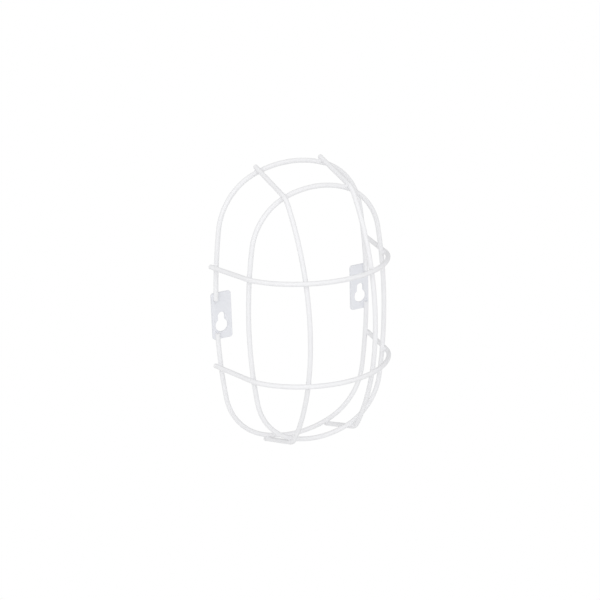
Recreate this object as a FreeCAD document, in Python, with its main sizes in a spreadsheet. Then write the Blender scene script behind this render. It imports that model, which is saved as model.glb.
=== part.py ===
# Cage guard for an oval wall lamp: seven bent wires and two keyhole tabs, welded and coated white.
# The wall is the plane y = 0, the cage stands out from it towards -Y and +Z is up. The origin lies
# on the wall, midway between the two screws. All sizes are in millimetres.
import FreeCAD, Part
import math
import os
import Sketcher
from types import SimpleNamespace

V = FreeCAD.Vector

# Driving sizes. Ring sizes run from wire centre to wire centre, depths from the wall ring's centre plane.
SIZES = {
    "wire_diameter": 3.2,
    "weld_sink": 0.3,
    "wall_ring_width": 116.5,
    "wall_ring_height": 195.0,
    "wall_ring_end_radius": 75.5,
    "wall_ring_side_radius": 400.0,
    "wall_ring_corner_radius": 43.0,
    "wall_ring_lap": 5.0,
    "collar_ring_width": 103.0,
    "collar_ring_height": 175.5,
    "collar_ring_end_radius": 64.0,
    "collar_ring_side_radius": 330.0,
    "collar_ring_corner_radius": 39.5,
    "collar_depth": 33.5,
    "long_hoop_spacing": 48.7,
    "long_hoop_front_radius": 144.0,
    "long_hoop_bend_radius": 13.0,
    "cross_hoop_spacing": 69.7,
    "cross_hoop_depth": 70.3,
    "cross_hoop_leg_rise": 0.5,
    "cross_hoop_bend_radius": 30.5,
    "wire_end_clearance": 0.25,
    "tab_width": 14.6,
    "tab_height": 32.5,
    "tab_thickness": 1.5,
    "tab_corner_radius": 2.0,
    "tab_outer_overhang": 2.65,
    "tab_weld_sink": 0.25,
    "keyhole_inset": 4.25,
    "keyhole_entry_diameter": 9.0,
    "keyhole_slot_width": 5.0,
    "keyhole_drop": 6.8,
}

# Places that follow from the driving sizes: how far a wire stands off the wire it is welded to, the
# planes of the two rings, how high on the tabs the halves of the wall ring stop, where the hoops pass
# the rings and how far their legs lean in, and where the square-cut wire ends clear the wall. The cross
# hoops' legs run straight until just past the collar, so their front arc follows from the bends and the
# crest. The long hoops lie just under the cross hoops.
FITS = {
    "contact": "sizes.wire_diameter - sizes.weld_sink",
    "wall_ring_plane": "sizes.tab_thickness + sizes.wire_diameter / 2 - sizes.tab_weld_sink",
    "collar_plane": "wall_ring_plane + sizes.collar_depth",
    "wall_ring_stop": "sizes.tab_height / 2 - sizes.wall_ring_lap",
    "long_side": "sizes.long_hoop_spacing / 2",
    "cross_side": "sizes.cross_hoop_spacing / 2",
    "long_foot": "sizes.wall_ring_height / 2 - sizes.wall_ring_end_radius"
                 " + sqrt((sizes.wall_ring_end_radius + contact)^2 - long_side^2)",
    "long_shoulder": "sizes.collar_ring_height / 2 - sizes.collar_ring_end_radius"
                     " + sqrt((sizes.collar_ring_end_radius + contact)^2 - long_side^2)",
    "cross_foot": "sizes.wall_ring_width / 2 - sizes.wall_ring_side_radius"
                  " + sqrt((sizes.wall_ring_side_radius + contact)^2 - cross_side^2)",
    "cross_shoulder": "sizes.collar_ring_width / 2 - sizes.collar_ring_side_radius"
                      " + sqrt((sizes.collar_ring_side_radius + contact)^2 - cross_side^2)",
    "long_leg": "sqrt((long_foot - long_shoulder)^2 + sizes.collar_depth^2)",
    "cross_leg": "sqrt((cross_foot - cross_shoulder)^2 + sizes.collar_depth^2)",
    "long_lean": "(long_foot - long_shoulder) / long_leg",
    "cross_lean": "(cross_foot - cross_shoulder) / cross_leg",
    "long_end": "sizes.wire_end_clearance + sizes.wire_diameter / 2 * abs(long_lean)",
    "cross_end": "sizes.wire_end_clearance + sizes.wire_diameter / 2 * abs(cross_lean)",
    "cross_crest": "wall_ring_plane + sizes.cross_hoop_depth",
    "cross_leg_top": "cross_shoulder"
                     " - sizes.cross_hoop_leg_rise * (cross_foot - cross_shoulder) / sizes.collar_depth",
    "cross_bend_across": "cross_leg_top - sizes.cross_hoop_bend_radius * sizes.collar_depth / cross_leg",
    "cross_bend_depth": "collar_plane + sizes.cross_hoop_leg_rise"
                        " - sizes.cross_hoop_bend_radius * cross_lean",
    "cross_bend_ahead": "cross_crest - cross_bend_depth",
    "cross_front_radius": "(cross_bend_across^2 + cross_bend_ahead^2 - sizes.cross_hoop_bend_radius^2)"
                          " / (2 * (cross_bend_ahead - sizes.cross_hoop_bend_radius))",
    "long_front_radius": "sizes.long_hoop_front_radius",
    "cross_drop": "cross_front_radius - sqrt(cross_front_radius^2 - long_side^2)",
    "cross_slope": "long_side / (cross_front_radius - cross_drop)",
    "long_drop": "long_front_radius - sqrt(long_front_radius^2 - cross_side^2)",
    "long_slope": "cross_side / (long_front_radius - long_drop)",
    "long_crest": "cross_crest - cross_drop - contact * sqrt(1 + long_slope^2 + cross_slope^2) + long_drop",
}

# How a sketch counts the points of an edge, its own axes and its origin.
START, END, CENTRE = range(1, 4)
V_AXIS, H_AXIS = range(-2, 0)
ORIGIN = H_AXIS, START

doc = FreeCAD.newDocument("cage_guard")
sizes = doc.addObject("Spreadsheet::Sheet", "sizes")
for row, (name, value) in enumerate(SIZES.items(), start=1):
    sizes.set(f"A{row}", name)
    sizes.set(f"B{row}", str(value))
    sizes.setAlias(f"B{row}", name)
doc.recompute()
fits = doc.addObject("App::VarSet", "fits")
for name, formula in FITS.items():
    fits.addProperty("App::PropertyFloat", name)
    fits.setExpression(name, formula)
    doc.recompute()


def add_sketch(body, name, plane_role, turn=None):
    """A sketch on one of the body's own origin planes, turned in place where turn is given."""
    sketch = body.newObject("Sketcher::SketchObject", name)
    plane = next(item for item in body.Origin.OriginFeatures if item.Role == plane_role)
    sketch.AttachmentSupport = [(plane, "")]
    sketch.MapMode = "FlatFace"
    if turn is not None:
        sketch.AttachmentOffset = FreeCAD.Placement(V(), turn)
    return sketch


def bind(sketch, kind, where, value, formula):
    """Adds a dimension to the sketch and ties it to the sizes."""
    index = sketch.addConstraint(Sketcher.Constraint(kind, *where, value))
    sketch.setExpression(f"Constraints[{index}]", formula)


def chain(sketch, closed):
    """Joins neighbouring edges of an outline end to end, tangent to each other."""
    count = sketch.GeometryCount
    for index in range(count if closed else count - 1):
        follower = (index + 1) % count
        sketch.addConstraint(Sketcher.Constraint("Tangent", index, END, follower, START))


def arc(centre, radius, start, end):
    """Counter-clockwise arc in the sketch plane, between two angles in radians."""
    return Part.ArcOfCircle(Part.Circle(centre, V(0, 0, 1), radius), start, end)


def heading(centre, point):
    """Angle of the line from centre to point, from 0 up to a full turn."""
    return math.atan2(point.y - centre.y, point.x - centre.x) % math.tau


def place_point(sketch, point, edge, across, depth):
    """A marker that lies on an edge of the sketch, with its two distances tied to the sizes."""
    marker = sketch.addGeometry(Part.Point(point), True)
    sketch.addConstraint(Sketcher.Constraint("PointOnObject", marker, START, edge))
    if across:
        bind(sketch, "DistanceX", (*ORIGIN, marker, START), point.x, across)
    else:
        sketch.addConstraint(Sketcher.Constraint("PointOnObject", marker, START, V_AXIS))
    if depth:
        bind(sketch, "DistanceY", (*ORIGIN, marker, START), point.y, depth)
    else:
        sketch.addConstraint(Sketcher.Constraint("PointOnObject", marker, START, H_AXIS))


def draw_wire(body, spine):
    """Sweeps the round wire along the spine sketch."""
    section = body.newObject("Sketcher::SketchObject", "section")
    section.AttachmentSupport = [(spine, "Edge1")]
    section.MapMode = "NormalToEdge"
    section.addGeometry(Part.Circle(V(), V(0, 0, 1), sizes.wire_diameter / 2))
    section.addConstraint(Sketcher.Constraint("Coincident", 0, CENTRE, *ORIGIN))
    bind(section, "Diameter", (0,), sizes.wire_diameter, "sizes.wire_diameter")
    doc.recompute()
    pipe = body.newObject("PartDesign::AdditivePipe", "wire")
    pipe.Profile = section
    pipe.Spine = (spine, [f"Edge{index + 1}" for index in range(len(spine.Shape.Edges))])
    body.Tip = pipe
    doc.recompute()


def ring_form(ring):
    """Sizes of a ring, the centres of its upper right arcs and the angles where they run together."""
    form = SimpleNamespace()
    form.half_width = getattr(sizes, f"{ring}_width") / 2
    form.half_height = getattr(sizes, f"{ring}_height") / 2
    form.end_radius = getattr(sizes, f"{ring}_end_radius")
    form.side_radius = getattr(sizes, f"{ring}_side_radius")
    form.corner_radius = getattr(sizes, f"{ring}_corner_radius")
    form.end = V(0, form.half_height - form.end_radius)
    form.side = V(form.half_width - form.side_radius, 0)

    # The corner's centre lies where its distances to the end's and the side's centres meet.
    span = (form.end - form.side).Length
    to_side = form.side_radius - form.corner_radius
    to_end = form.end_radius - form.corner_radius
    bend = math.acos((span ** 2 + to_side ** 2 - to_end ** 2) / (2 * span * to_side))
    angle = heading(form.side, form.end) + bend
    form.corner = form.side + V(math.cos(angle), math.sin(angle)) * to_side
    form.side_turn = heading(form.side, form.corner)
    form.end_turn = heading(form.end, form.corner)
    return form


def cap_arcs(form, turn):
    """The corner, end and corner arcs that close one end of a ring; a turn of pi closes the lower end."""
    flip = round(math.cos(turn))
    mirrored = V(-form.corner.x, form.corner.y)
    return [arc(form.corner * flip, form.corner_radius, turn + form.side_turn, turn + form.end_turn),
            arc(form.end * flip, form.end_radius, turn + form.end_turn, turn + math.pi - form.end_turn),
            arc(mirrored * flip, form.corner_radius, turn + math.pi - form.end_turn,
                turn + math.pi - form.side_turn)]


def fix_ring(spine, ring, form, sides, ends, corners):
    """Ties the sides, ends and corners of a ring's sketch to the ring's sizes."""
    for side, sign in zip(sides, (1, -1)):
        spine.addConstraint(Sketcher.Constraint("PointOnObject", side, CENTRE, H_AXIS))
        place_point(spine, V(sign * form.half_width, 0), side, f"{sign} * sizes.{ring}_width / 2", None)
    for end, sign in zip(ends, (1, -1)):
        spine.addConstraint(Sketcher.Constraint("PointOnObject", end, CENTRE, V_AXIS))
        place_point(spine, V(0, sign * form.half_height), end, None, f"{sign} * sizes.{ring}_height / 2")
    for kind, edges in (("side", sides), ("end", ends), ("corner", corners)):
        first, *others = edges
        size = f"{ring}_{kind}_radius"
        bind(spine, "Radius", (first,), getattr(sizes, size), f"sizes.{size}")
        for other in others:
            spine.addConstraint(Sketcher.Constraint("Equal", first, other))


def add_collar(label):
    """The closed ring halfway out, of bowed ends, bowed sides and round corners."""
    body = doc.addObject("PartDesign::Body", label)
    spine = add_sketch(body, "outline", "XZ_Plane")
    form = ring_form("collar_ring")
    for turn, side in ((0, form.side), (math.pi, -form.side)):
        spine.addGeometry(arc(side, form.side_radius, turn - form.side_turn, turn + form.side_turn))
        for edge in cap_arcs(form, turn):
            spine.addGeometry(edge)
    right, top_right, top, top_left, left, bottom_left, bottom, bottom_right = range(8)
    chain(spine, closed=True)
    fix_ring(spine, "collar_ring", form, sides=(right, left), ends=(top, bottom),
             corners=(top_right, top_left, bottom_left, bottom_right))
    doc.recompute()
    draw_wire(body, spine)
    body.setExpression("Placement.Base.y", "-fits.collar_plane")
    return body


def add_half_ring(label, turn):
    """The upper half of the wall ring, whose ends stop on the tabs; half a turn makes it the lower one."""
    body = doc.addObject("PartDesign::Body", label)
    spine = add_sketch(body, "outline", "XZ_Plane")
    form = ring_form("wall_ring")
    stop_turn = math.asin(fits.wall_ring_stop / form.side_radius)
    spine.addGeometry(arc(form.side, form.side_radius, stop_turn, form.side_turn))
    for edge in cap_arcs(form, 0):
        spine.addGeometry(edge)
    spine.addGeometry(arc(-form.side, form.side_radius, math.pi - form.side_turn, math.pi - stop_turn))
    right, top_right, top, top_left, left = range(5)
    chain(spine, closed=False)
    fix_ring(spine, "wall_ring", form, sides=(right, left), ends=(top,), corners=(top_right, top_left))
    for side, tip in ((right, START), (left, END)):
        bind(spine, "DistanceY", (*ORIGIN, side, tip), fits.wall_ring_stop, "fits.wall_ring_stop")
    doc.recompute()
    draw_wire(body, spine)
    body.Placement = FreeCAD.Placement(V(), turn)
    body.setExpression("Placement.Base.y", "-fits.wall_ring_plane")
    return body


def add_hoop(label, hoop, plane_role, turn):
    """A hoop of two straight legs, two bends and an arched front, square to the wall."""
    body = doc.addObject("PartDesign::Body", label)
    spine = add_sketch(body, "path", plane_role, turn)
    front_radius = getattr(fits, f"{hoop}_front_radius")
    bend_radius = getattr(sizes, f"{hoop}_hoop_bend_radius")
    crest = V(0, getattr(fits, f"{hoop}_crest"))
    foot = V(getattr(fits, f"{hoop}_foot"), fits.wall_ring_plane)
    shoulder = V(getattr(fits, f"{hoop}_shoulder"), fits.collar_plane)

    # The bend lies inside the leg's line and inside the front arc, touching both.
    front_centre = crest - V(0, front_radius)
    along = (shoulder - foot).normalize()
    inward = V(-along.y, along.x)
    offset = foot + inward * bend_radius - front_centre
    lead = offset.dot(along)
    reach = math.sqrt(lead ** 2 - offset.dot(offset) + (front_radius - bend_radius) ** 2) - lead
    leg_top = foot + along * reach
    bend_centre = leg_top + inward * bend_radius
    leg_end = foot - along * ((foot.y - getattr(fits, f"{hoop}_end")) / along.y)
    leg_turn = heading(bend_centre, leg_top)
    if leg_turn > math.pi:
        leg_turn -= math.tau
    front_turn = heading(front_centre, bend_centre)

    mirror = V(-bend_centre.x, bend_centre.y)
    spine.addGeometry(Part.LineSegment(leg_end, leg_top))
    spine.addGeometry(arc(bend_centre, bend_radius, leg_turn, front_turn))
    spine.addGeometry(arc(front_centre, front_radius, front_turn, math.pi - front_turn))
    spine.addGeometry(arc(mirror, bend_radius, math.pi - front_turn, math.pi - leg_turn))
    spine.addGeometry(Part.LineSegment(V(-leg_top.x, leg_top.y), V(-leg_end.x, leg_end.y)))
    leg, near_bend, front, far_leg = 0, 1, 2, 4
    chain(spine, closed=False)
    spine.addConstraint(Sketcher.Constraint("PointOnObject", front, CENTRE, V_AXIS))
    bind(spine, "Radius", (front,), front_radius, f"fits.{hoop}_front_radius")
    bind(spine, "Radius", (near_bend,), bend_radius, f"sizes.{hoop}_hoop_bend_radius")
    spine.addConstraint(Sketcher.Constraint("Symmetric", leg, START, far_leg, END, V_AXIS))
    spine.addConstraint(Sketcher.Constraint("Symmetric", leg, END, far_leg, START, V_AXIS))
    bind(spine, "DistanceY", (*ORIGIN, leg, START), leg_end.y, f"fits.{hoop}_end")
    place_point(spine, crest, front, None, f"fits.{hoop}_crest")
    place_point(spine, foot, leg, f"fits.{hoop}_foot", "fits.wall_ring_plane")
    place_point(spine, shoulder, leg, f"fits.{hoop}_shoulder", "fits.collar_plane")
    doc.recompute()
    draw_wire(body, spine)
    return body


def add_tab(label, side):
    """A flat tab behind the wall ring, with a keyhole whose narrow end is up."""
    body = doc.addObject("PartDesign::Body", label)
    outline = add_sketch(body, "outline", "XZ_Plane")
    ring_edge = sizes.wall_ring_width / 2
    outer = ring_edge + sizes.tab_outer_overhang
    inner = outer - sizes.tab_width
    low = min(side * outer, side * inner)
    high = max(side * outer, side * inner)
    top = sizes.tab_height / 2
    radius = sizes.tab_corner_radius
    corners = [V(high - radius, top - radius), V(low + radius, top - radius),
               V(low + radius, radius - top), V(high - radius, radius - top)]
    quarter = math.pi / 2
    for index, corner in enumerate(corners):
        following = corners[(index + 1) % 4]
        out = V(math.cos(quarter * (index + 1)), math.sin(quarter * (index + 1))) * radius
        outline.addGeometry(arc(corner, radius, quarter * index, quarter * (index + 1)))
        outline.addGeometry(Part.LineSegment(corner + out, following + out))
    chain(outline, closed=True)
    top_edge, left_edge, bottom_edge, right_edge = 1, 3, 5, 7
    first_corner, *other_corners = 0, 2, 4, 6
    for edge in (top_edge, bottom_edge):
        outline.addConstraint(Sketcher.Constraint("Horizontal", edge))
    for edge in (left_edge, right_edge):
        outline.addConstraint(Sketcher.Constraint("Vertical", edge))
    bind(outline, "Radius", (first_corner,), radius, "sizes.tab_corner_radius")
    for other in other_corners:
        outline.addConstraint(Sketcher.Constraint("Equal", first_corner, other))
    outer_formula = "sizes.wall_ring_width / 2 + sizes.tab_outer_overhang"
    outer_edge = right_edge if side > 0 else left_edge
    inner_edge = left_edge if side > 0 else right_edge
    bind(outline, "DistanceX", (*ORIGIN, outer_edge, START), side * outer, f"{side} * ({outer_formula})")
    bind(outline, "DistanceX", (*ORIGIN, inner_edge, START), side * inner,
         f"{side} * ({outer_formula} - sizes.tab_width)")
    bind(outline, "DistanceY", (*ORIGIN, top_edge, START), top, "sizes.tab_height / 2")
    bind(outline, "DistanceY", (*ORIGIN, bottom_edge, START), -top, "-sizes.tab_height / 2")
    plate = body.newObject("PartDesign::Pad", "plate")
    plate.Profile = outline
    plate.setExpression("Length", "sizes.tab_thickness")
    body.Tip = plate
    doc.recompute()
    blank = plate.Shape.Volume

    keyhole = add_sketch(body, "keyhole", "XZ_Plane")
    entry_radius = sizes.keyhole_entry_diameter / 2
    slot_radius = sizes.keyhole_slot_width / 2
    seat = V(side * (ring_edge - sizes.keyhole_inset), 0)
    entry = seat - V(0, sizes.keyhole_drop)
    mouth = math.acos(slot_radius / entry_radius)
    rise = entry_radius * math.sin(mouth)
    right_low = entry + V(slot_radius, rise)
    left_low = entry + V(-slot_radius, rise)
    keyhole.addGeometry(arc(entry, entry_radius, math.pi - mouth, math.tau + mouth))
    keyhole.addGeometry(Part.LineSegment(right_low, seat + V(slot_radius, 0)))
    keyhole.addGeometry(arc(seat, slot_radius, 0, math.pi))
    keyhole.addGeometry(Part.LineSegment(seat - V(slot_radius, 0), left_low))
    entry_arc, right_wall, slot_arc, left_wall = range(4)
    keyhole.addConstraint(Sketcher.Constraint("Coincident", entry_arc, END, right_wall, START))
    keyhole.addConstraint(Sketcher.Constraint("Tangent", right_wall, END, slot_arc, START))
    keyhole.addConstraint(Sketcher.Constraint("Tangent", slot_arc, END, left_wall, START))
    keyhole.addConstraint(Sketcher.Constraint("Coincident", left_wall, END, entry_arc, START))
    keyhole.addConstraint(Sketcher.Constraint("Vertical", right_wall))
    keyhole.addConstraint(Sketcher.Constraint("Vertical", left_wall))
    keyhole.addConstraint(Sketcher.Constraint("PointOnObject", slot_arc, CENTRE, H_AXIS))
    keyhole.addConstraint(Sketcher.Constraint("Vertical", entry_arc, CENTRE, slot_arc, CENTRE))
    bind(keyhole, "Diameter", (entry_arc,), sizes.keyhole_entry_diameter, "sizes.keyhole_entry_diameter")
    bind(keyhole, "Diameter", (slot_arc,), sizes.keyhole_slot_width, "sizes.keyhole_slot_width")
    bind(keyhole, "DistanceX", (*ORIGIN, slot_arc, CENTRE), seat.x,
         f"{side} * (sizes.wall_ring_width / 2 - sizes.keyhole_inset)")
    bind(keyhole, "DistanceY", (*ORIGIN, entry_arc, CENTRE), entry.y, "-sizes.keyhole_drop")
    doc.recompute()
    pocket = body.newObject("PartDesign::Pocket", "keyhole_cut")
    pocket.Profile = keyhole
    pocket.Type = "ThroughAll"
    pocket.Reversed = True
    body.Tip = pocket
    doc.recompute()
    if pocket.Shape.Volume >= blank:
        raise ValueError(f"{label}: the keyhole cuts nothing")
    return body


def seat_on(label, piece, carriers):
    """The piece with the shallow weld seats that the wires under it press into it."""
    tool = doc.addObject("Part::Compound", f"{label}_seats")
    tool.Links = carriers
    seated = doc.addObject("Part::Cut", label)
    seated.Base = piece
    seated.Tool = tool
    return seated


# Rings lie innermost, the long hoops over the rings, and the cross hoops over all of them.
half_rings = []
for label, degrees in (("wall_ring", 0), ("wall_ring_lower", 180)):
    half_rings.append(add_half_ring(label, FreeCAD.Rotation(V(0, 1, 0), degrees)))
rings = [*half_rings, add_collar("collar_ring")]

UPRIGHT = FreeCAD.Rotation(V(0, 0, 1), 90)
LEVEL = FreeCAD.Rotation(V(1, 0, 0), 180)
long_wires = []
pieces = list(rings)
for label, side in (("long_hoop_left", -1), ("long_hoop_right", 1)):
    wire = add_hoop(f"{label}_wire", "long", "YZ_Plane", UPRIGHT)
    wire.setExpression("Placement.Base.x", f"{side} * fits.long_side")
    long_wires.append(wire)
    pieces.append(seat_on(label, wire, rings))
for label, side in (("cross_hoop_upper", 1), ("cross_hoop_lower", -1)):
    wire = add_hoop(f"{label}_wire", "cross", "XY_Plane", LEVEL)
    wire.setExpression("Placement.Base.z", f"{side} * fits.cross_side")
    pieces.append(seat_on(label, wire, rings + long_wires))
for label, side in (("keyhole_tab_left", -1), ("keyhole_tab_right", 1)):
    plate = add_tab(f"{label}_plate", side)
    pieces.append(seat_on(label, plate, half_rings))
doc.recompute()

for item in doc.Objects:
    if {"Invalid", "Error"} & set(item.State):
        raise ValueError(f"{item.Label} failed to build")
for piece in pieces:
    if piece.Shape.isNull() or not piece.Shape.isValid() or len(piece.Shape.Solids) != 1:
        raise ValueError(f"{piece.Label} is not one valid solid")

os.makedirs("parts", exist_ok=True)
for piece in pieces:
    piece.Shape.exportStep(f"parts/{piece.Label}.step")
    box = piece.Shape.BoundBox
    print(f"{piece.Label}: volume {piece.Shape.Volume:.1f}, x {box.XMin:.2f} to {box.XMax:.2f}, "
          f"y {box.YMin:.2f} to {box.YMax:.2f}, z {box.ZMin:.2f} to {box.ZMax:.2f}")
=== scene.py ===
import math
from dataclasses import dataclass

import bpy
import numpy as np
from mathutils import Matrix, Vector


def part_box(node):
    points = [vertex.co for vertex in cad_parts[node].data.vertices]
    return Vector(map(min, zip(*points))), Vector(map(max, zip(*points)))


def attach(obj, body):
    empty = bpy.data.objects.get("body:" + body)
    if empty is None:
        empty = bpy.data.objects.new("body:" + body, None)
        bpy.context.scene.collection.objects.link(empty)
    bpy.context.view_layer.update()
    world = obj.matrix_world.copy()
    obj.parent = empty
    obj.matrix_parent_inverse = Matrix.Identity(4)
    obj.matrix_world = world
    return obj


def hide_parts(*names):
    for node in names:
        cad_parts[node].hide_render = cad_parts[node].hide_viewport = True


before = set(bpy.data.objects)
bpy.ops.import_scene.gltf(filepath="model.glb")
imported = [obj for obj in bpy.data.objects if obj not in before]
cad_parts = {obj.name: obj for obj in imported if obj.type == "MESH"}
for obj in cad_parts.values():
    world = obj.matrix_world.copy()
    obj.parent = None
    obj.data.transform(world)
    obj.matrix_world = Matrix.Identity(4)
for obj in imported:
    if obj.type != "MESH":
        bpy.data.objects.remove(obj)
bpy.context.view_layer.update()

# A white coated wire cage for an oval wall lamp. The wall is the plane y = 0, the cage stands out towards
# -Y and +Z is up. Sizes are in millimetres, from wire centre to wire centre, and "depth" is the distance
# from the wall. A ring's end, side and corner, a hoop's bend and front, and a keyhole's entry, slot and
# throat are radii. A hoop's side is its distance from the cage's middle. The meshes are put in as metres.
METRE = 0.001
WIRE_RADIUS = 1.6
WELD_SPACING = 2.9
WALL_RING = {"depth": 2.85, "width": 116.5, "height": 195.0, "end": 75.5, "side": 400.0, "corner": 43.0}
COLLAR_RING = {"depth": 36.35, "width": 103.0, "height": 175.5, "end": 64.0, "side": 330.0, "corner": 39.5}
LONG_HOOP = {"side": 24.35, "bend": 13.0, "front": 144.0}
CROSS_HOOP = {"side": 34.85, "bend": 30.5, "crest": 73.15, "leg_rise": 0.5}
END_CLEARANCE = 0.25
TAB_LAP = 5.0
TAB_CORNER = 2.0
KEYHOLE = {"inset": 4.25, "entry": 4.5, "slot": 2.5, "drop": 6.8, "throat": 0.6}

# How the coat lies. A pool is the fillet beside a weld: its radius, the share by which that wanders and the
# waves it wanders on, in radians a millimetre, the share of its dip, its least size on a wire and, as a
# share, on a tab, and the rise at which it counts as full. The edges are the radii to which wire ends and
# tabs are rounded, and the dome is how far a wire end bulges.
WELD_POOL = 0.95
TAB_POOL = 0.75
POOL_WANDER = 0.1
WANDER_WAVES = ((1.3, 0.9, 1.7), (-0.7, 1.9, 0.8))
POOL_DIP = 0.1
LEAST_POOL = 1e-6
LEAST_TAB_SHARE = 0.02
FULL_POOL = 0.25
END_EDGE = 0.45
END_DOME = 0.12
TAB_EDGE = 0.35

# How close the mesh lines lie: steps along a wire, with fine ones near a weld, and counts of rows and rays.
# The rays of a tab start above the middle of its keyhole's entry, by a share of the entry's radius.
SPINE_STEP = 0.2
PLAIN_STEP = 0.85
FINE_STEP = 0.22
FINE_REACH = 2.2
AROUND = 44
DOME_ROWS = 5
END_EDGE_ROWS = 6
TAB_RAYS = 240
TAB_EDGE_ROWS = 7
TAB_FRONT_ROWS = 42
TAB_BACK_ROWS = 7
RAY_START = 0.8
RAY_DIGITS = 3
OUTLINE_SAMPLES = 6000

# The two finishes, by the names of the coat's inputs, and the dimples per metre of their skins.
WIRE_FINISH = {"Coat": (0.9, 0.9, 0.915, 1), "Drift": (0.87, 0.87, 0.885, 1),
               "Thin coat": (0.62, 0.63, 0.64, 1), "Satin": 0.36}
WIRE_DIMPLES = 950.0
TAB_FINISH = {"Coat": (0.85, 0.86, 0.895, 1), "Drift": (0.82, 0.83, 0.87, 1),
              "Thin coat": (0.6, 0.61, 0.63, 1), "Satin": 0.4}
TAB_DIMPLES = 760.0

# What both finishes share: the skin's finer grain and slower waves against its dimples, its height in
# metres, patches per metre of tone and of thin coat, and what grain and pools do to the roughness.
GRAIN_PER_DIMPLE = 3.7
GRAIN_HEIGHT = 0.25
WAVES_PER_DIMPLE = 0.17
SKIN_HEIGHT = 0.0002
SKIN_STRENGTH = 0.6
TONES_PER_METRE = 70.0
THIN_PATCHES_PER_METRE = 420.0
GRAIN_ROUGHNESS = 0.12
POOL_GLOSS = 0.1

# The photograph's camera, in degrees and metres, and the studio around the cage. A lamp has its place and
# its size in metres, and its watts. The sky is brightest in one direction and dimmest in the other.
CAMERA = {"azimuth": -28.522, "elevation": 19.109, "roll": -1.708, "distance": 0.9888,
          "lens": 87.188, "sensor": 36.0, "shift": (0.01095, 0.00192), "clip": (0.01, 100.0)}
LAMPS = {"key_light": ((-1.0, -1.2, 0.55), 1.2, 3.0), "fill_light": ((1.2, -1.0, 0.3), 1.0, 0.3)}
CAGE_MIDDLE = (0, -0.03, 0)
SKY_FRONT = (-0.44, -0.86, 0.26)
SKY_BRIGHT = (1.11, 1.11, 1.11, 1)
SKY_DIM = (0.43, 0.43, 0.43, 1)
WHITE = (1, 1, 1, 1)
FLOOR_COLOUR = (0.9, 0.9, 0.9, 1)
FLOOR_HALF = 15.0
FLOOR_HEIGHT = -0.45


def follow(start, heading, runs, spots):
    """Points and headings on a flat path of runs, each a length and a curvature, at lengths along it.

    After a length t on a run of curvature k the heading has turned by k t, and the point lies
    t sin(k t / 2) / (k t / 2) from the run's start, along the mean of the two headings.
    """
    lengths, curves = np.array(runs, float).T
    ends = np.cumsum(lengths)
    turned = heading + np.concatenate(([0.0], np.cumsum(lengths * curves)))
    mean = turned[:-1] + lengths * curves / 2
    chord = lengths * np.sinc(lengths * curves / math.tau)
    chords = chord[:, None] * np.stack((np.cos(mean), np.sin(mean)), axis=-1)
    starts = np.array(start) + np.concatenate((np.zeros((1, 2)), np.cumsum(chords, axis=0)))
    run = np.minimum(np.searchsorted(ends, spots), len(runs) - 1)
    gone = spots - (ends - lengths)[run]
    turn = gone * curves[run]
    mean = turned[run] + turn / 2
    chord = gone * np.sinc(turn / math.tau)
    points = starts[run] + chord[:, None] * np.stack((np.cos(mean), np.sin(mean)), axis=-1)
    return points, turned[run] + turn


@dataclass
class Wire:
    """A round wire bent flat.

    The path's start, heading and runs lie in a plane of its own, and that plane's origin and its two
    directions, across and ahead, place it in the cage.
    """

    name: str
    origin: tuple
    across: tuple
    ahead: tuple
    start: tuple
    heading: float
    runs: list
    closed: bool

    def length(self):
        """The length of the path, which is the sum of its runs."""
        return sum(length for length, _ in self.runs)

    def at(self, spots):
        """Centres, directions and the two square directions of the wire at lengths along its path."""
        points, headings = follow(self.start, self.heading, self.runs, spots)
        across, ahead = np.array(self.across, float), np.array(self.ahead, float)
        cos, sin = np.cos(headings)[:, None], np.sin(headings)[:, None]
        centres = np.array(self.origin) + points[:, :1] * across + points[:, 1:] * ahead
        square = np.broadcast_to(np.cross(across, ahead), centres.shape)
        return centres, cos * across + sin * ahead, cos * ahead - sin * across, square

    def spine(self):
        """The wire's centre line as close samples: points and directions."""
        return self.at(np.linspace(0, self.length(), int(self.length() / SPINE_STEP)))[:2]


def ring_runs(ring):
    """The runs of a ring's upper half from its rightmost point: side, corner, end, corner and side.

    The corner arc touches the bowed side and the bowed end inside, so its centre lies at the side's radius
    less its own from the side's centre, and at the end's radius less its own from the end's centre.
    """
    end, side, corner = ring["end"], ring["side"], ring["corner"]
    rise = ring["height"] / 2 - end
    back = side - ring["width"] / 2
    span = math.hypot(rise, back)
    to_side, to_end = side - corner, end - corner
    bend = math.acos((span ** 2 + to_side ** 2 - to_end ** 2) / (2 * span * to_side))
    side_turn = math.atan2(rise, back) + bend
    end_turn = math.atan2(to_side * math.sin(side_turn) - rise, to_side * math.cos(side_turn) - back)
    half_side = (side * side_turn, 1 / side)
    turn = (corner * (end_turn - side_turn), 1 / corner)
    bow = (end * (math.pi - 2 * end_turn), 1 / end)
    return [half_side, turn, bow, turn, half_side]


def ring_wire(name, ring):
    """A closed ring that goes up from its rightmost point."""
    return Wire(name, (0, -ring["depth"], 0), (1, 0, 0), (0, 0, 1), (ring["width"] / 2, 0), math.pi / 2,
                2 * ring_runs(ring), True)


def half_ring_wire(name, ring, stop, way):
    """Half of a ring that stops at a height above the ring's middle; a way of -1 turns it upside down."""
    side = ring["side"]
    skipped = math.asin(stop / side)
    (length, bow), *middle, _ = ring_runs(ring)
    leg = (length - side * skipped, bow)
    start = (ring["width"] / 2 - side * (1 - math.cos(skipped)), stop)
    return Wire(name, (0, -ring["depth"], 0), (way, 0, 0), (0, 0, way), start, math.pi / 2 + skipped,
                [leg, *middle, leg], False)


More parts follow.
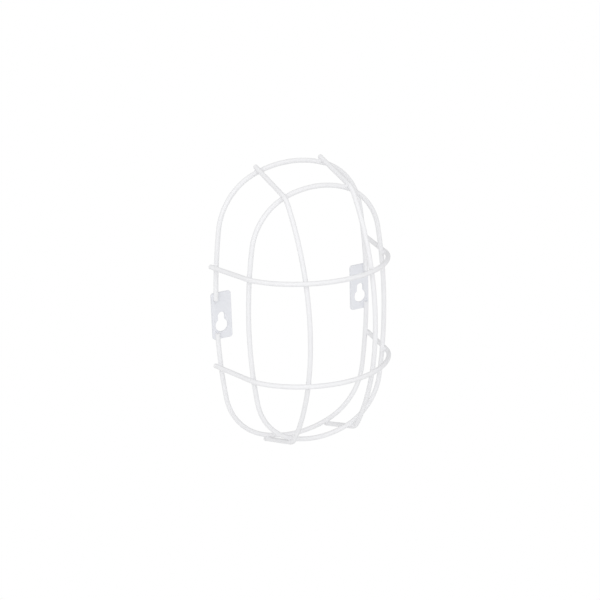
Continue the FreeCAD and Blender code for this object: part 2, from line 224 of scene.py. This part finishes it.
def hoop_wire(name, origin, across, foot, shoulder, crest, front, bend):
    """An open hoop: a leg from the wall past both rings, a bend, an arched front, a bend and a leg.

    The bend arc touches the leg's line and the front arc inside: going along the leg, its centre comes
    within the front's radius less the bend's own of the front's centre.
    """
    rise = COLLAR_RING["depth"] - WALL_RING["depth"]
    leg = math.hypot(foot - shoulder, rise)
    lean, climb = (foot - shoulder) / leg, rise / leg
    heading = math.atan2(climb, -lean)
    end_depth = END_CLEARANCE + WIRE_RADIUS * abs(lean)
    before = (WALL_RING["depth"] - end_depth) / climb
    aside = foot - climb * bend
    above = WALL_RING["depth"] - lean * bend - (crest - front)
    lead = above * climb - aside * lean
    reach = math.sqrt(lead ** 2 - aside ** 2 - above ** 2 + (front - bend) ** 2) - lead
    front_turn = math.atan2(above + climb * reach, aside - lean * reach)
    leg_turn = heading - math.pi / 2
    straight = (before + reach, 0)
    turn = (bend * (front_turn - leg_turn), 1 / bend)
    arch = (front * (math.pi - 2 * front_turn), 1 / front)
    start = (foot + lean * before, end_depth)
    runs = [straight, turn, arch, turn, straight]
    return Wire(name, origin, across, (0, -1, 0), start, heading, runs, False)


def passing(half, bow, side):
    """How far out a hoop passes a ring: on the ring's bowed edge, moved out by the weld's spacing."""
    return half - bow + math.sqrt((bow + WELD_SPACING) ** 2 - side ** 2)


def cage_wires(tab_top):
    """The seven wires: the rings, the long hoops that lie on them, and the cross hoops over them all.

    The cross hoops' legs run straight until just past the collar, so the radius of their front arc
    follows from the bends and the crest. The long hoops lie one weld's spacing under the cross hoops. The
    wall ring's two halves stop on the tabs.
    """
    long_side, cross_side = LONG_HOOP["side"], CROSS_HOOP["side"]
    long_foot, long_shoulder = (passing(ring["height"] / 2, ring["end"], long_side)
                                for ring in (WALL_RING, COLLAR_RING))
    cross_foot, cross_shoulder = (passing(ring["width"] / 2, ring["side"], cross_side)
                                  for ring in (WALL_RING, COLLAR_RING))
    rise = COLLAR_RING["depth"] - WALL_RING["depth"]
    leg = math.hypot(cross_foot - cross_shoulder, rise)
    bend = CROSS_HOOP["bend"]
    slack = CROSS_HOOP["leg_rise"] * (cross_foot - cross_shoulder) / rise
    aside = cross_shoulder - slack - bend * rise / leg
    ahead = (CROSS_HOOP["crest"] - COLLAR_RING["depth"] - CROSS_HOOP["leg_rise"]
             + bend * (cross_foot - cross_shoulder) / leg)
    cross_front = (aside ** 2 + ahead ** 2 - bend ** 2) / (2 * (ahead - bend))
    cross_drop = cross_front - math.sqrt(cross_front ** 2 - long_side ** 2)
    long_drop = LONG_HOOP["front"] - math.sqrt(LONG_HOOP["front"] ** 2 - cross_side ** 2)
    slopes = (long_side / (cross_front - cross_drop), cross_side / (LONG_HOOP["front"] - long_drop))
    long_crest = CROSS_HOOP["crest"] - cross_drop + long_drop - WELD_SPACING * math.hypot(1, *slopes)
    stop = tab_top - TAB_LAP
    wires = [half_ring_wire("wall_ring", WALL_RING, stop, 1),
             half_ring_wire("wall_ring_lower", WALL_RING, stop, -1),
             ring_wire("collar_ring", COLLAR_RING)]
    for name, x in (("long_hoop_left", -long_side), ("long_hoop_right", long_side)):
        wires.append(hoop_wire(name, (x, 0, 0), (0, 0, 1), long_foot, long_shoulder, long_crest,
                               LONG_HOOP["front"], LONG_HOOP["bend"]))
    for name, z in (("cross_hoop_upper", cross_side), ("cross_hoop_lower", -cross_side)):
        wires.append(hoop_wire(name, (0, 0, z), (1, 0, 0), cross_foot, cross_shoulder, CROSS_HOOP["crest"],
                               cross_front, bend))
    return wires


def spacing(points, centres):
    """Distances between all of one set of points and all of another, as a table."""
    return np.sqrt(((points[:, None] - centres[None]) ** 2).sum(-1))


def pool_size(points, size):
    """The fillet's radius, which wanders by up to a fifth over a few millimetres as a thick coat does.

    It is the size times one plus the wander's share of two sine waves that cross in space.
    """
    first, second = (np.sin(points @ np.array(wave)) for wave in WANDER_WAVES)
    return size * (1 + POOL_WANDER * (first + second))


def pool_rise(clear, facing, size):
    """How far the coat stands up on a surface beside a second one.

    The coat's face is a quarter circle of the fillet's radius k in the two distances a and b from the bare
    surfaces: (k - a)^2 + (k - b)^2 = k^2. A point that rises by h from the first surface, clear by d from
    the second and facing it with the cosine c of the two normals, has a = h and b = d + c h. Past the
    middle of the fillet it dips a little, so that the second surface's own coat covers it.
    """
    short = size - clear
    reach = size + short * facing
    bow = 1 + facing ** 2
    rise = (reach - np.sqrt(np.maximum(reach ** 2 - bow * short ** 2, 0))) / bow
    rise = rise - POOL_DIP * np.maximum(rise - clear - rise * facing, 0)
    return np.where(clear < size, np.maximum(rise, 0), 0)


def rise_beside_wire(points, normals, spine, size):
    """The coat's rise on points of a surface beside a wire, whose surface lies one radius off its spine."""
    centres, directions = spine
    nearest = np.argmin(spacing(points, centres), axis=1)
    away = points - centres[nearest]
    along = np.clip((away * directions[nearest]).sum(-1, keepdims=True), -SPINE_STEP, SPINE_STEP)
    away = away - along * directions[nearest]
    reach = np.linalg.norm(away, axis=-1)
    facing = (normals * away).sum(-1) / reach
    return pool_rise(reach - WIRE_RADIUS, facing, pool_size(points, size))


def inside_plate(points, low, high):
    """How far points lie inside a plate's box, seen from the front."""
    return np.minimum(points - low, high - points)[..., [0, 2]].min(axis=-1)


def rise_at_welds(points, normals, centres, neighbours):
    """The coat's rise on a wire's rows of points beside other wires, worked out where those are near."""
    rise = np.zeros(points.shape[:2])
    for spine in neighbours:
        table = spacing(centres, spine[0])
        close = table.min(axis=1) < 2 * WIRE_RADIUS + 2 * WELD_POOL
        if close.any():
            near = table[close].min(axis=0) < 4 * WIRE_RADIUS
            found = rise_beside_wire(points[close].reshape(-1, 3), normals[close].reshape(-1, 3),
                                     tuple(part[near] for part in spine), WELD_POOL)
            rise[close] = np.maximum(rise[close], found.reshape(-1, AROUND))
    return rise


def rise_at_plates(points, normals, plates):
    """The coat's rise on a wire's rows of points above flat plates, fading out towards a plate's edge."""
    rise = np.zeros(points.shape[:2])
    for low, high in plates:
        inside = inside_plate(points, low, high)
        size = TAB_POOL * np.clip(inside / TAB_POOL, 0, 1) + LEAST_POOL
        rise = np.maximum(rise, pool_rise(low[1] - points[..., 1], -normals[..., 1], size))
    return rise


def wire_rows(wire, neighbours):
    """Lengths along the wire for the mesh's rows, and the wire's radius there.

    The rows lie close together where another wire crosses and wide apart elsewhere: they are even steps of
    the summed density 1 / step. An open wire starts and ends in a low dome, then a rounded edge, where the
    radius grows as a quarter circle.
    """
    cap = 0.0 if wire.closed else END_DOME + END_EDGE
    fine = np.linspace(cap, wire.length() - cap, int(wire.length() / SPINE_STEP))
    centres = wire.at(fine)[0]
    gap = np.min([spacing(centres, spine[0]).min(axis=1) for spine in neighbours], axis=0) - WELD_SPACING
    density = 1 / PLAIN_STEP + (1 / FINE_STEP - 1 / PLAIN_STEP) * np.exp(-(gap / FINE_REACH) ** 2)
    summed = np.concatenate(([0.0], np.cumsum((density[1:] + density[:-1]) / 2 * np.diff(fine))))
    spots = np.interp(np.linspace(0, summed[-1], int(summed[-1])), summed, fine)
    if wire.closed:
        return spots[:-1], np.full(len(spots) - 1, WIRE_RADIUS)
    flat = WIRE_RADIUS - END_EDGE
    share = np.linspace(0, 1, DOME_ROWS + 1)[1:]
    angle = np.linspace(0, math.pi / 2, END_EDGE_ROWS + 2)[1:-1]
    cap_spots = np.concatenate((END_DOME * share ** 2, END_DOME + END_EDGE * (1 - np.cos(angle))))
    cap_radii = np.concatenate((flat * share, flat + END_EDGE * np.sin(angle)))
    radii = np.concatenate((cap_radii, np.full(len(spots), WIRE_RADIUS), cap_radii[::-1]))
    return np.concatenate((cap_spots, spots, wire.length() - cap_spots[::-1])), radii


def grid_faces(rows, columns, rows_closed):
    """Four-cornered faces of a grid whose columns close on themselves, and whose rows may."""
    row = np.arange(rows if rows_closed else rows - 1)[:, None]
    column = np.arange(columns)[None]
    after, beside = (row + 1) % rows, (column + 1) % columns
    corners = (row * columns + column, row * columns + beside,
               after * columns + beside, after * columns + column)
    return np.stack(corners, axis=-1).reshape(-1, 4)


def end_faces(rows):
    """Three-cornered faces that close an open wire's ends: first row to first pole, last row to second."""
    column = np.arange(AROUND)
    beside = (column + 1) % AROUND
    last, first_pole = (rows - 1) * AROUND, rows * AROUND
    first_end = np.stack((np.full(AROUND, first_pole), beside, column), axis=-1)
    last_end = np.stack((np.full(AROUND, first_pole + 1), last + column, last + beside), axis=-1)
    return np.concatenate((first_end, last_end))


def put_piece(name, points, faces, masks, material):
    """Puts a worked-out surface into the scene as a smooth mesh, with its coat masks as attributes."""
    mesh = bpy.data.meshes.new(name)
    mesh.from_pydata((points * METRE).tolist(), [], faces)
    mesh.polygons.foreach_set("use_smooth", np.ones(len(faces), bool))
    for mask, values in masks.items():
        layer = mesh.attributes.new(mask, "FLOAT", "POINT")
        layer.data.foreach_set("value", np.asarray(values, np.float32))
    mesh.materials.append(material)
    mesh.update()
    piece = bpy.data.objects.new(name, mesh)
    bpy.context.scene.collection.objects.link(piece)
    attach(piece, "root")
    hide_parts(name.removeprefix("coated_"))


def coated_wire(wire, neighbours, plates, material):
    """A round section carried along the wire's path, with the coat's fillets beside what it is welded to.

    At the angle t round the wire a point lies off the centre by the radius plus the coat's rise, towards
    cos t of the one square direction plus sin t of the other. The coat is thin on the face of an end,
    as the root of the sine of the radius's share of a half turn.
    """
    spots, radii = wire_rows(wire, neighbours)
    centres, _, side, square = wire.at(spots)
    turn = np.linspace(0, math.tau, AROUND, endpoint=False)[None, :, None]
    normals = np.cos(turn) * side[:, None] + np.sin(turn) * square[:, None]
    points = centres[:, None] + radii[:, None, None] * normals
    rise = np.maximum(rise_at_welds(points, normals, centres, neighbours),
                      rise_at_plates(points, normals, plates))
    points = (points + rise[..., None] * normals).reshape(-1, 3)
    faces = grid_faces(len(spots), AROUND, wire.closed).tolist()
    thin = np.repeat((radii < WIRE_RADIUS) * np.sqrt(np.sin(math.pi * radii / WIRE_RADIUS)), AROUND)
    pool = np.clip(rise / FULL_POOL, 0, 1).ravel()
    if not wire.closed:
        poles = wire.at(np.array((0.0, wire.length())))[0]
        points = np.concatenate((points, poles))
        faces += end_faces(len(spots)).tolist()
        thin, pool = np.append(thin, (0, 0)), np.append(pool, (0, 0))
    put_piece(f"coated_{wire.name}", points, faces, {"coat_thin": thin, "coat_pool": pool}, material)


def tab_outline(low, high):
    """The tab's outline as a path from the middle of its right side: straight edges and round corners."""
    width, height = high[0] - low[0], high[2] - low[2]
    corner = (TAB_CORNER * math.pi / 2, 1 / TAB_CORNER)
    side, end = (height - 2 * TAB_CORNER, 0), (width - 2 * TAB_CORNER, 0)
    half_side = (side[0] / 2, 0)
    runs = [half_side, corner, end, corner, side, corner, end, corner, half_side]
    return (high[0], (low[2] + high[2]) / 2), math.pi / 2, runs


def keyhole_outline(seat):
    """The keyhole as a path from its lowest point: the round entry, a rounded throat and the slot above.

    The throat's arc touches the entry circle and the slot's wall outside the hole, so its centre lies the
    sum of the two radii from the entry's centre.
    """
    entry, slot, throat = KEYHOLE["entry"], KEYHOLE["slot"], KEYHOLE["throat"]
    height = math.sqrt((entry + throat) ** 2 - (slot + throat) ** 2)
    turn = math.pi / 2 + math.atan2(height, slot + throat)
    wall = (KEYHOLE["drop"] - height, 0)
    nose = (throat * (turn - math.pi / 2), -1 / throat)
    round_part = (entry * turn, 1 / entry)
    runs = [round_part, nose, wall, (slot * math.pi, 1 / slot), wall, nose, round_part]
    return (seat, -KEYHOLE["drop"] - entry), 0.0, runs


def rays_to(path, centre, count):
    """Even lengths along a closed path that goes round the centre, and the angles of the rays to them."""
    start, heading, runs = path
    spots = np.linspace(0, sum(length for length, _ in runs), count)
    points = follow(start, heading, runs, spots)[0] - centre
    return spots, np.unwrap(np.arctan2(points[:, 1], points[:, 0]))


def edge_line(path, centre, angles):
    """Where rays from the centre meet a closed path that goes round it, and the directions to its left."""
    spots, turned = rays_to(path, centre, OUTLINE_SAMPLES)
    met = np.interp((angles - turned[0]) % math.tau + turned[0], turned, spots)
    points, headings = follow(*path, met)
    return points, np.stack((-np.sin(headings), np.cos(headings)), axis=-1)


def tab_section(thick):
    """The tab's section as rows: outer edge, front, the keyhole's two edges, back and outer edge again.

    A row has its share of the way from the outline to the keyhole, its inset from that line, its distance
    from the wall and how thin its coat is. Every edge is a quarter circle of the coat's edge radius e: at
    the angle t it lies e (1 - cos t) inside the line and e (1 - sin t) under the face, and the coat is as
    thin as sin 2 t.
    """
    edge = np.linspace(0, math.pi / 2, TAB_EDGE_ROWS)
    inset = TAB_EDGE * (1 - np.cos(edge))
    under = TAB_EDGE * (1 - np.sin(edge))
    thin = np.sin(2 * edge)
    outline, keyhole = np.zeros(TAB_EDGE_ROWS), np.ones(TAB_EDGE_ROWS)
    front, on_front = np.linspace(0, 1, TAB_FRONT_ROWS + 2)[1:-1], np.ones(TAB_FRONT_ROWS)
    back, on_back = np.linspace(1, 0, TAB_BACK_ROWS + 2)[1:-1], np.ones(TAB_BACK_ROWS)
    stretches = [
        (outline, inset, thick - under, thin),
        (front, TAB_EDGE * on_front, thick * on_front, 0 * on_front),
        (keyhole, inset[::-1], thick - under[::-1], thin),
        (keyhole, inset, under, thin),
        (back, TAB_EDGE * on_back, 0 * on_back, 0 * on_back),
        (outline, inset[::-1], under[::-1], thin),
    ]
    return (np.concatenate(values) for values in zip(*stretches))


def coated_tab(name, spine, material):
    """A flat tab with a keyhole: its section carried round the hole, on rays from a point in the hole.

    A row at the share b of the way lies at 1 - b of its place inside the outline plus b of its place
    outside the keyhole. Beside the ring the front rises as the coat's fillet does.
    """
    low, high = (np.array(corner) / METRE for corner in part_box(name))
    thick, height = high[1] - low[1], high[2] - low[2]
    seat = math.copysign(WALL_RING["width"] / 2 - KEYHOLE["inset"], low[0])
    centre = np.array((seat, -KEYHOLE["drop"] + RAY_START * KEYHOLE["entry"]))
    outer, inner = tab_outline(low, high), keyhole_outline(seat)
    rays = np.concatenate([rays_to(path, centre, TAB_RAYS)[1] for path in (outer, inner)])
    angles = np.unique(np.round(rays % math.tau, RAY_DIGITS))
    outer_points, outer_left = edge_line(outer, centre, angles)
    inner_points, inner_left = edge_line(inner, centre, angles)

    shares, insets, depths, thin = tab_section(thick)
    share, inset = shares[:, None, None], insets[:, None, None]
    flat = (1 - share) * (outer_points + inset * outer_left) + share * (inner_points - inset * inner_left)
    depth = np.broadcast_to(-depths[:, None], flat.shape[:2])
    points = np.stack((flat[..., 0], depth, flat[..., 1]), axis=-1)

    facing = np.array((0.0, -1.0, 0.0))
    near = np.linalg.norm(spine[0] - (seat, 0, 0), axis=-1) < height
    on_front = np.flatnonzero(depths == thick)
    face = points[on_front].reshape(-1, 3)
    size = TAB_POOL * np.clip(inside_plate(face, low, high) / TAB_POOL, LEAST_TAB_SHARE, 1)
    near_spine = tuple(part[near] for part in spine)
    found = rise_beside_wire(face, np.broadcast_to(facing, face.shape), near_spine, size)
    rise = np.zeros(points.shape[:2])
    rise[on_front] = found.reshape(len(on_front), -1)
    points = (points + rise[..., None] * facing).reshape(-1, 3)
    pool = np.clip(rise / FULL_POOL, 0, 1).ravel()
    masks = {"coat_thin": np.repeat(thin, len(angles)), "coat_pool": pool}
    faces = grid_faces(len(depths), len(angles), True).tolist()
    put_piece(f"coated_{name}", points, faces, masks, material)


def new_group(name, sockets):
    """A shader node group with named sockets, each (direction, kind, name, default)."""
    group = bpy.data.node_groups.new(name, "ShaderNodeTree")
    for direction, kind, label, default in sockets:
        socket = group.interface.new_socket(label, in_out=direction, socket_type=f"NodeSocket{kind}")
        if default is not None:
            socket.default_value = default
    return group, group.nodes.new("NodeGroupInput"), group.nodes.new("NodeGroupOutput")


def add_node(tree, kind, inputs=None, **settings):
    """A node with its settings, whose inputs, by name or number, are values or other nodes' outputs."""
    node = tree.nodes.new(kind)
    for key, value in settings.items():
        setattr(node, key, value)
    for key, value in (inputs or {}).items():
        if isinstance(value, bpy.types.NodeSocket):
            tree.links.new(value, node.inputs[key])
        else:
            node.inputs[key].default_value = value
    return node


def add_maths(tree, operation, first, second):
    """Output of a Math node on two values."""
    return add_node(tree, "ShaderNodeMath", {0: first, 1: second}, operation=operation).outputs[0]


def add_noise(tree, place, scale, detail):
    """Output of a noise with a scale of patches per metre."""
    inputs = {"Vector": place, "Scale": scale, "Detail": detail}
    return add_node(tree, "ShaderNodeTexNoise", inputs).outputs["Fac"]


def mix_colours(tree, share, first, second):
    """Colour between two others; the Mix node has its colours at inputs 6 and 7 and at output 2."""
    return add_node(tree, "ShaderNodeMix", {0: share, 6: first, 7: second}, data_type="RGBA").outputs[2]


def orange_peel_group():
    """The coat's skin: soft dimples about a millimetre apart, finer grain, and slow waves where it ran."""
    group, given, made = new_group("powder_orange_peel", [
        ("INPUT", "Vector", "Place", None),
        ("INPUT", "Float", "Dimples per metre", 900.0),
        ("INPUT", "Float", "Waviness", 0.5),
        ("OUTPUT", "Float", "Height", None),
        ("OUTPUT", "Float", "Fleck", None),
    ])
    place, density = given.outputs["Place"], given.outputs["Dimples per metre"]
    dimples = add_noise(group, place, density, detail=1.5)
    grain = add_noise(group, place, add_maths(group, "MULTIPLY", density, GRAIN_PER_DIMPLE), detail=2.0)
    waves = add_noise(group, place, add_maths(group, "MULTIPLY", density, WAVES_PER_DIMPLE), detail=1.0)
    skin = add_maths(group, "ADD", dimples, add_maths(group, "MULTIPLY", grain, GRAIN_HEIGHT))
    slow = add_maths(group, "MULTIPLY", waves, given.outputs["Waviness"])
    group.links.new(add_maths(group, "ADD", skin, slow), made.inputs["Height"])
    group.links.new(grain, made.inputs["Fleck"])
    return group


def coat_shade_group():
    """The coat's colour and roughness: a slow drift of tone, greyer thin edges, glossier pools at welds."""
    group, given, made = new_group("coat_shade", [
        ("INPUT", "Vector", "Place", None),
        ("INPUT", "Color", "Coat", (0.9, 0.9, 0.9, 1)),
        ("INPUT", "Color", "Drift", (0.85, 0.85, 0.85, 1)),
        ("INPUT", "Color", "Thin coat", (0.6, 0.6, 0.6, 1)),
        ("INPUT", "Float", "Thin", 0.0),
        ("INPUT", "Float", "Pool", 0.0),
        ("INPUT", "Float", "Fleck", 0.5),
        ("INPUT", "Float", "Satin", 0.4),
        ("OUTPUT", "Color", "Color", None),
        ("OUTPUT", "Float", "Roughness", None),
    ])
    place = given.outputs["Place"]
    drift = add_noise(group, place, TONES_PER_METRE, detail=2.0)
    toned = mix_colours(group, drift, given.outputs["Coat"], given.outputs["Drift"])
    patchy = add_noise(group, place, THIN_PATCHES_PER_METRE, detail=3.0)
    spread = {"Value": patchy, "From Min": 0.38, "From Max": 0.7, "To Min": 0.1, "To Max": 0.7}
    worn = add_node(group, "ShaderNodeMapRange", spread, interpolation_type="SMOOTHSTEP").outputs[0]
    bare = add_maths(group, "MULTIPLY", given.outputs["Thin"], worn)
    colour = mix_colours(group, bare, toned, given.outputs["Thin coat"])
    grainy = add_maths(group, "MULTIPLY", given.outputs["Fleck"], GRAIN_ROUGHNESS)
    glossy = add_maths(group, "MULTIPLY", given.outputs["Pool"], POOL_GLOSS)
    rough = add_maths(group, "SUBTRACT", add_maths(group, "ADD", given.outputs["Satin"], grainy), glossy)
    group.links.new(colour, made.inputs["Color"])
    group.links.new(rough, made.inputs["Roughness"])
    return group


def coat_material(name, peel, shade, dimples, finish):
    """A satin white coat: the skin group drives the bump, the shade group the colour and roughness."""
    material = bpy.data.materials.new(name)
    material.use_nodes = True
    tree = material.node_tree
    shader = tree.nodes["Principled BSDF"]
    shader.inputs["IOR"].default_value = 1.48
    shader.inputs["Coat Weight"].default_value = 0.12
    shader.inputs["Coat Roughness"].default_value = 0.25
    place = tree.nodes.new("ShaderNodeTexCoord").outputs["Object"]
    skin = add_node(tree, "ShaderNodeGroup", {"Place": place, "Dimples per metre": dimples}, node_tree=peel)
    thin, pool = (add_node(tree, "ShaderNodeAttribute", attribute_name=mask).outputs["Fac"]
                  for mask in ("coat_thin", "coat_pool"))
    inputs = {"Place": place, "Fleck": skin.outputs["Fleck"], "Thin": thin, "Pool": pool, **finish}
    tone = add_node(tree, "ShaderNodeGroup", inputs, node_tree=shade)
    relief = {"Strength": SKIN_STRENGTH, "Distance": SKIN_HEIGHT, "Height": skin.outputs["Height"]}
    bump = add_node(tree, "ShaderNodeBump", relief)
    tree.links.new(tone.outputs["Color"], shader.inputs["Base Color"])
    tree.links.new(tone.outputs["Roughness"], shader.inputs["Roughness"])
    tree.links.new(bump.outputs["Normal"], shader.inputs["Normal"])
    return material


def make_floor():
    """A pale floor well below the cage, plain white to the camera and a soft reflector to all else."""
    material = bpy.data.materials.new("pale_floor")
    material.use_nodes = True
    tree = material.node_tree
    tree.nodes.clear()
    seen = tree.nodes.new("ShaderNodeLightPath").outputs["Is Camera Ray"]
    matt = add_node(tree, "ShaderNodeBsdfDiffuse", {"Color": FLOOR_COLOUR})
    white = add_node(tree, "ShaderNodeEmission", {"Color": WHITE, "Strength": 1.0})
    mixed = add_node(tree, "ShaderNodeMixShader", {0: seen, 1: matt.outputs[0], 2: white.outputs[0]})
    add_node(tree, "ShaderNodeOutputMaterial", {"Surface": mixed.outputs[0]})
    mesh = bpy.data.meshes.new("floor")
    signs = ((-1, -1), (1, -1), (1, 1), (-1, 1))
    corners = [(FLOOR_HALF * x, FLOOR_HALF * y, FLOOR_HEIGHT) for x, y in signs]
    mesh.from_pydata(corners, [], [(0, 1, 2, 3)])
    mesh.materials.append(material)
    floor = bpy.data.objects.new("floor", mesh)
    bpy.context.scene.collection.objects.link(floor)


def make_sky():
    """White to the camera, and a soft surround as light: brightest on the camera's side, dimmest behind."""
    world = bpy.data.worlds.new("studio")
    bpy.context.scene.world = world
    world.use_nodes = True
    tree = world.node_tree
    tree.nodes.clear()
    seen = tree.nodes.new("ShaderNodeLightPath").outputs["Is Camera Ray"]
    way = tree.nodes.new("ShaderNodeTexCoord").outputs["Generated"]
    ahead = add_node(tree, "ShaderNodeVectorMath", {0: way, 1: SKY_FRONT}, operation="DOT_PRODUCT")
    spread = {"Value": ahead.outputs["Value"], "From Min": -1.0, "From Max": 1.0}
    share = add_node(tree, "ShaderNodeMapRange", spread).outputs[0]
    colour = mix_colours(tree, seen, mix_colours(tree, share, SKY_DIM, SKY_BRIGHT), WHITE)
    back = add_node(tree, "ShaderNodeBackground", {"Color": colour, "Strength": 1.0})
    add_node(tree, "ShaderNodeOutputWorld", {"Surface": back.outputs[0]})


def soft_light(name, place, size, power):
    """A large square lamp that faces the middle of the cage."""
    lamp = bpy.data.lights.new(name, "AREA")
    lamp.size = size
    lamp.energy = power
    holder = bpy.data.objects.new(name, lamp)
    holder.location = place
    holder.rotation_euler = (Vector(CAGE_MIDDLE) - Vector(place)).to_track_quat("-Z", "Y").to_euler()
    bpy.context.scene.collection.objects.link(holder)


def photo_camera():
    """The photograph's camera: its turn, height, roll and distance, and its lens and picture's shift."""
    azimuth, elevation, roll = (math.radians(CAMERA[angle]) for angle in ("azimuth", "elevation", "roll"))
    toward = Vector((math.sin(azimuth) * math.cos(elevation), -math.cos(azimuth) * math.cos(elevation),
                     math.sin(elevation)))
    level = Vector((0, 0, 1)).cross(toward).normalized()
    upright = toward.cross(level)
    right = level * math.cos(roll) + upright * math.sin(roll)
    up = upright * math.cos(roll) - level * math.sin(roll)
    data = bpy.data.cameras.new("photo_camera")
    data.sensor_width = CAMERA["sensor"]
    data.lens = CAMERA["lens"]
    data.shift_x, data.shift_y = CAMERA["shift"]
    data.clip_start, data.clip_end = CAMERA["clip"]
    camera = bpy.data.objects.new("photo_camera", data)
    turned = Matrix((right, up, toward)).transposed().to_4x4()
    aim = Vector((0, -WALL_RING["depth"] * METRE, 0))
    camera.matrix_world = Matrix.Translation(aim + toward * CAMERA["distance"]) @ turned
    bpy.context.scene.collection.objects.link(camera)
    bpy.context.scene.camera = camera


peel, shade = orange_peel_group(), coat_shade_group()
wire_coat = coat_material("white_wire_coat", peel, shade, WIRE_DIMPLES, WIRE_FINISH)
tab_coat = coat_material("white_tab_coat", peel, shade, TAB_DIMPLES, TAB_FINISH)

tabs = ("keyhole_tab_left", "keyhole_tab_right")
plates = [tuple(np.array(corner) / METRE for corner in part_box(tab)) for tab in tabs]
wires = cage_wires(tab_top=plates[0][1][2])
spines = {wire.name: wire.spine() for wire in wires}
half_rings = ("wall_ring", "wall_ring_lower")
for wire in wires:
    others = [spine for name, spine in spines.items() if name != wire.name]
    coated_wire(wire, others, plates if wire.name in half_rings else [], wire_coat)
ring_spine = tuple(np.concatenate(part) for part in zip(*(spines[name] for name in half_rings)))
for tab in tabs:
    coated_tab(tab, ring_spine, tab_coat)

make_floor()
make_sky()
for name, (place, size, power) in LAMPS.items():
    soft_light(name, place, size, power)
photo_camera()
bpy.context.scene.view_settings.view_transform = "Standard"
